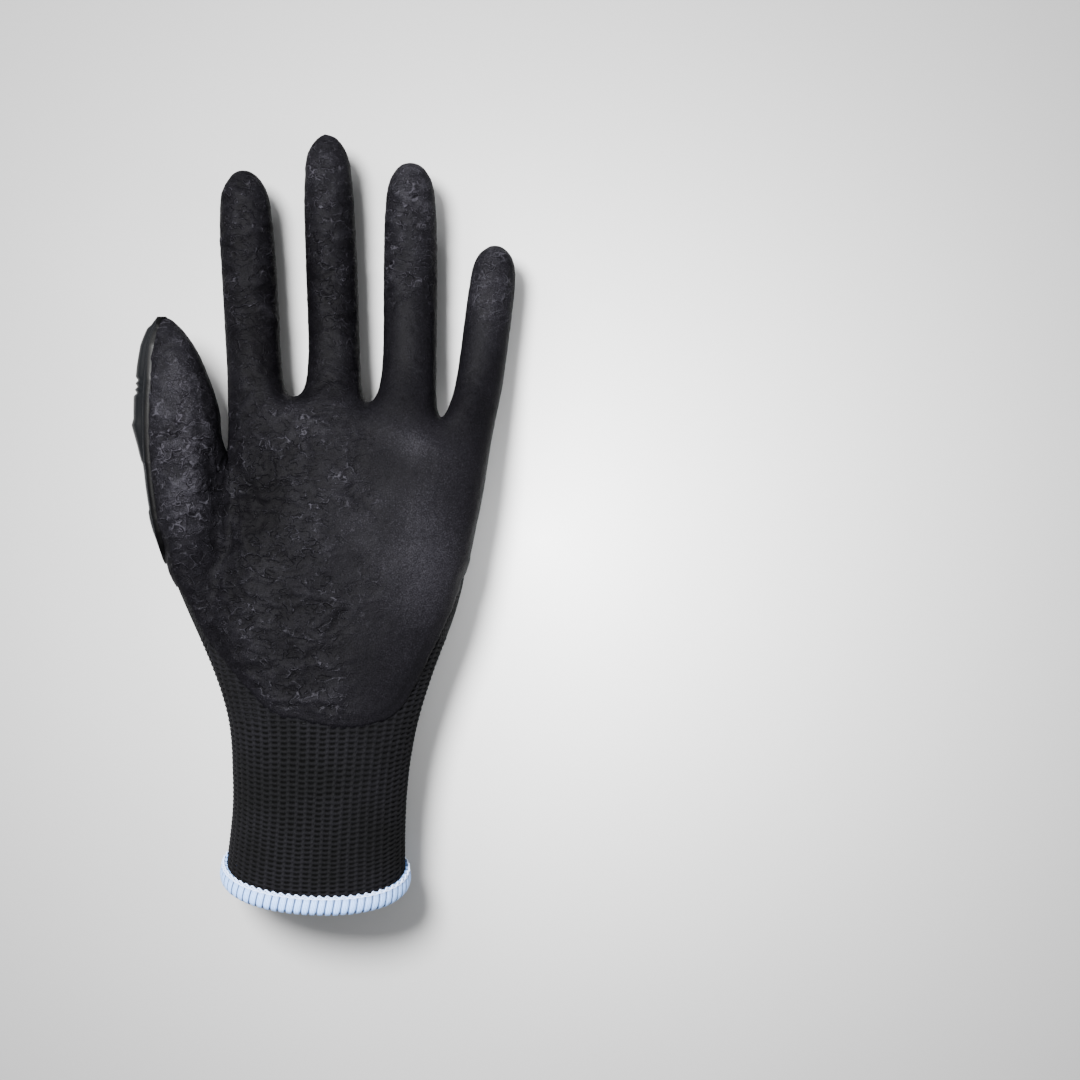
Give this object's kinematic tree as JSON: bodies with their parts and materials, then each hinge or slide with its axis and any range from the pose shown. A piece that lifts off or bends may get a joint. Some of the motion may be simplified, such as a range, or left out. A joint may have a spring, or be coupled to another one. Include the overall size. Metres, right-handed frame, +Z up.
{
  "type": "work_glove",
  "caption": "Left-hand impact work glove, palm up: knitted liner, dipped palm coating, bound cuff and moulded rubber guards on thumb, knuckles and fingers",
  "frame": {"origin": "centre of the middle knuckle pad's flat crown, in the plane that the glove lies on", "axes": "+X across the hand towards the little finger, +Y along the hand towards the fingertips, +Z up out of the palm"},
  "size_m": [0.1271, 0.2582, 0.0428],
  "materials": {
    "knit": "rough",
    "coating": "satin",
    "binding": "rough",
    "guard": "satin"
  },
  "bodies": {
    "root": {"knit_liner": "knit", "palm_coating": "coating", "cuff_hem": "binding", "thumb_guard": "guard", "knuckle_guard": "guard", "index_guard": "guard", "middle_guard": "guard", "ring_guard": "guard", "little_guard": "guard"}
  },
  "joints": []
}
